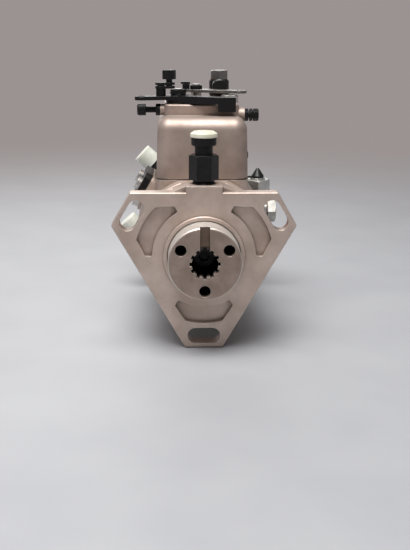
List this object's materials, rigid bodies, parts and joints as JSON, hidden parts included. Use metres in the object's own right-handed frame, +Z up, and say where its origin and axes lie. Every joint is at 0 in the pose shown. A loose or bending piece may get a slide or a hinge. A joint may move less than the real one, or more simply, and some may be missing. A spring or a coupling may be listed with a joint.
{
  "type": "distributor diesel injection pump",
  "caption": "Distributor-type diesel injection pump with three-cornered slotted flange, splined drive hub, radial outlets, box-shaped mechanical governor and control levers on top.",
  "frame": {"origin": "centre of the mounting flange's front face, on the drive axis", "axes": "+Y runs from the flange into the pump along the drive axis, so the drive hub faces -Y; +Z is up towards the governor cover and levers; +X is to the right as seen from the drive end"},
  "size_m": [0.117, 0.2355, 0.1669],
  "materials": {
    "cast_body": "vapour-blasted casting",
    "cast_cover": "vapour-blasted casting",
    "cast_end": "vapour-blasted casting",
    "machined_steel": "fine-turned",
    "ground_steel": "ground",
    "spring_steel": "drawn wire",
    "black_oxide": "black oxide, oiled",
    "zinc_plate": "zinc plated",
    "head_steel": "phosphated",
    "bronze": "bored",
    "copper": "annealed",
    "seal_rubber": "matt",
    "gasket_fibre": "pressed fibre",
    "white_plastic": "translucent moulding",
    "cream_plastic": "moulded",
    "black_plastic": "moulded",
    "blade_carbon": "pressed carbon"
  },
  "bodies": {
    "pump_body": {"pump_housing": "cast_body", "oil_seal": "seal_rubber", "hub_bush": "bronze", "cam_ring": "ground_steel", "hydraulic_head": "head_steel", "o_rings": "seal_rubber", "transfer_liner": "ground_steel", "governor_bracket": "zinc_plate", "governor_spring": "spring_steel", "end_plate": "cast_end", "hexagon_screws": "zinc_plate", "cheese_head_screws": "zinc_plate", "regulating_sleeve": "ground_steel", "regulating_spring": "spring_steel", "regulating_plug": "black_oxide", "inlet_union": "black_oxide", "banjo_bolts": "zinc_plate", "banjos": "zinc_plate", "return_banjo": "black_oxide", "sealing_washers": "copper", "white_caps": "white_plastic", "black_caps": "black_plastic", "inspection_cover": "black_oxide", "gaskets": "gasket_fibre", "governor_cover": "cast_cover", "cover_studs": "zinc_plate", "vent_screw": "black_oxide", "stop_screws": "black_oxide", "stop_screw_nuts": "black_oxide", "drain_adaptor": "black_oxide", "drain_plug": "cream_plastic"},
    "drive": {"drive_hub": "machined_steel", "drive_screws": "black_oxide", "drive_shaft": "ground_steel", "weight_cage": "machined_steel", "drive_plate": "machined_steel", "rotor": "ground_steel", "transfer_rotor": "ground_steel"},
    "flyweight_1": {"weight_1": "machined_steel"},
    "flyweight_2": {"weight_2": "machined_steel"},
    "flyweight_3": {"weight_3": "machined_steel"},
    "flyweight_4": {"weight_4": "machined_steel"},
    "sleeve": {"thrust_sleeve": "ground_steel"},
    "control_arm": {"governor_arm": "zinc_plate"},
    "link_rod": {"linkage_hook": "zinc_plate"},
    "valve": {"metering_valve": "ground_steel"},
    "throttle": {"throttle_shaft": "machined_steel", "throttle_lever": "black_oxide", "throttle_fittings": "zinc_plate"},
    "shutoff": {"shutoff_shaft": "machined_steel", "shutoff_lever": "zinc_plate", "shutoff_fittings": "zinc_plate"},
    "stop_bar": {"shutoff_bar": "zinc_plate"},
    "pumping_plunger_1": {"plunger_1": "ground_steel"},
    "pumping_plunger_2": {"plunger_2": "ground_steel"},
    "cam_roller_1": {"roller_1": "ground_steel"},
    "cam_roller_2": {"roller_2": "ground_steel"},
    "vane_1": {"blade_1": "blade_carbon"},
    "vane_2": {"blade_2": "blade_carbon"},
    "piston": {"regulating_piston": "ground_steel"}
  },
  "joints": [
    {"name": "drive_spin", "type": "hinge", "parent": "pump_body", "child": "drive", "pos_m": [0, 0, 0], "axis": [0, 1, 0], "continuous": true},
    {"name": "weight_swing_1", "type": "hinge", "parent": "drive", "child": "flyweight_1", "pos_m": [0.0185, 0.0425, 0], "axis": [0, 0, -1], "range_deg": [0, 23.6]},
    {"name": "weight_swing_2", "type": "hinge", "parent": "drive", "child": "flyweight_2", "pos_m": [0, 0.0425, 0.0185], "axis": [1, 0, 0], "range_deg": [0, 23.6]},
    {"name": "weight_swing_3", "type": "hinge", "parent": "drive", "child": "flyweight_3", "pos_m": [-0.0185, 0.0425, 0], "axis": [0, 0, 1], "range_deg": [0, 23.6]},
    {"name": "weight_swing_4", "type": "hinge", "parent": "drive", "child": "flyweight_4", "pos_m": [0, 0.0425, -0.0185], "axis": [-1, 0, 0], "range_deg": [0, 23.6]},
    {"name": "sleeve_travel", "type": "slide", "parent": "drive", "child": "sleeve", "axis": [0, 1, 0], "range_m": [0, 0.0026]},
    {"name": "arm_tilt", "type": "hinge", "parent": "pump_body", "child": "control_arm", "pos_m": [0, 0.0793, 0.038], "axis": [1, 0, 0], "range_deg": [0, 4.9]},
    {"name": "link_travel", "type": "slide", "parent": "pump_body", "child": "link_rod", "axis": [0, 1, 0], "range_m": [-0.0018, 0]},
    {"name": "metering_turn", "type": "hinge", "parent": "pump_body", "child": "valve", "pos_m": [0.008, 0.109, 0.03], "axis": [0, 0, 1], "range_deg": [0, 18.2]},
    {"name": "throttle_turn", "type": "hinge", "parent": "pump_body", "child": "throttle", "pos_m": [-0.0152, 0.072, 0.08], "axis": [0, 0, 1], "range_deg": [-42, 0]},
    {"name": "shutoff_turn", "type": "hinge", "parent": "pump_body", "child": "shutoff", "pos_m": [-0.003, 0.09, 0.08], "axis": [0, 0, 1], "range_deg": [-35, 0]},
    {"name": "stop_bar_travel", "type": "slide", "parent": "pump_body", "child": "stop_bar", "axis": [0, 1, 0], "range_m": [-0.0025, 0]},
    {"name": "plunger_stroke_1", "type": "slide", "parent": "drive", "child": "pumping_plunger_1", "axis": [1, 0, 0], "range_m": [-0.0015, 0]},
    {"name": "plunger_stroke_2", "type": "slide", "parent": "drive", "child": "pumping_plunger_2", "axis": [-1, 0, 0], "range_m": [-0.0015, 0]},
    {"name": "roller_spin_1", "type": "hinge", "parent": "pumping_plunger_1", "child": "cam_roller_1", "pos_m": [0.0196, 0.096, 0], "axis": [0, 1, 0], "continuous": true},
    {"name": "roller_spin_2", "type": "hinge", "parent": "pumping_plunger_2", "child": "cam_roller_2", "pos_m": [-0.0196, 0.096, 0], "axis": [0, 1, 0], "continuous": true},
    {"name": "vane_travel_1", "type": "slide", "parent": "drive", "child": "vane_1", "axis": [0, 0, -1], "range_m": [-0.001, 0]},
    {"name": "vane_travel_2", "type": "slide", "parent": "drive", "child": "vane_2", "axis": [0, 0, 1], "range_m": [-0.001, 0]},
    {"name": "piston_travel", "type": "slide", "parent": "pump_body", "child": "piston", "axis": [0, 1, 0], "range_m": [-0.003, 0]}
  ],
  "couplings": [
    {"joint": "weight_swing_1", "follows": "sleeve_travel", "rad_per_m": 158},
    {"joint": "weight_swing_2", "follows": "sleeve_travel", "rad_per_m": 158},
    {"joint": "weight_swing_3", "follows": "sleeve_travel", "rad_per_m": 158},
    {"joint": "weight_swing_4", "follows": "sleeve_travel", "rad_per_m": 158},
    {"joint": "arm_tilt", "follows": "sleeve_travel", "rad_per_m": 32.468},
    {"joint": "link_travel", "follows": "sleeve_travel", "ratio": -0.64935},
    {"joint": "metering_turn", "follows": "sleeve_travel", "rad_per_m": 120.25},
    {"joint": "stop_bar_travel", "follows": "shutoff_turn", "m_per_rad": 0.00394},
    {"joint": "plunger_stroke_2", "follows": "plunger_stroke_1", "ratio": 1},
    {"joint": "vane_travel_2", "follows": "vane_travel_1", "ratio": 1}
  ]
}
